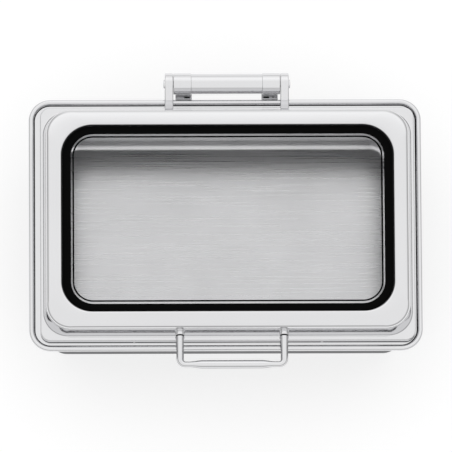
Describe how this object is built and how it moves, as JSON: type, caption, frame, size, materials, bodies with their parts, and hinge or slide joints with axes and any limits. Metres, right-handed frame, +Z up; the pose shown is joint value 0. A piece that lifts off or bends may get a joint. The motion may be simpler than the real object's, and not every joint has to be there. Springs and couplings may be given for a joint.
{
  "type": "chafing dish",
  "caption": "Rectangular polished steel chafing dish: water pan with rolled rim, lift-out food pan and a hinged lid with a framed glass window, front handle and soft-close barrel.",
  "frame": {"origin": "middle of the underside of the base plate", "axes": "+X to the right along the long side, +Y to the hinge at the back, +Z up"},
  "size_m": [0.575, 0.4465, 0.1885],
  "materials": {
    "polished_steel": "mirror polished stainless steel",
    "satin_steel": "satin stainless steel",
    "aluminium_core": "plain rolled aluminium",
    "window_glass": "clear tempered glass with a printed black border",
    "black_silicone": "matt black silicone",
    "clear_silicone": "clear silicone",
    "bush_plastic": "natural acetal",
    "damper_plastic": "black moulded nylon"
  },
  "bodies": {
    "dish": {"water_pan": "polished_steel", "base_core": "aluminium_core", "base_cap": "satin_steel", "lid_bumpers": "clear_silicone", "hinge_bracket_left": "satin_steel", "hinge_bracket_right": "satin_steel", "bracket_studs": "satin_steel", "bracket_nuts": "satin_steel", "hinge_barrel": "polished_steel", "hinge_collar_left": "polished_steel", "hinge_collar_right": "polished_steel", "hinge_bush_left": "bush_plastic", "hinge_bush_right": "bush_plastic", "damper_left": "damper_plastic", "damper_right": "damper_plastic"},
    "lid": {"lid_frame": "polished_steel", "window_gasket": "black_silicone", "window_glass": "window_glass", "window_retainer": "satin_steel", "handle": "polished_steel", "handle_ferrule_left": "polished_steel", "handle_ferrule_right": "polished_steel", "handle_ring_left": "black_silicone", "handle_ring_right": "black_silicone", "handle_screws": "satin_steel", "handle_washers": "satin_steel", "hinge_arm_left": "polished_steel", "hinge_arm_right": "polished_steel", "arm_screws": "satin_steel", "hinge_shaft": "satin_steel", "shaft_cap_left": "polished_steel", "shaft_cap_right": "polished_steel"},
    "food_pan": {"food_pan": "satin_steel"}
  },
  "joints": [
    {"name": "lid_hinge", "type": "hinge", "parent": "dish", "child": "lid", "pos_m": [0.003, 0.2095, 0.16], "axis": [-1, 0, 0], "range_deg": [0, 90]},
    {"name": "food_pan_lift", "type": "slide", "parent": "dish", "child": "food_pan", "axis": [0, 0, 1], "range_m": [0, 0.005]}
  ]
}
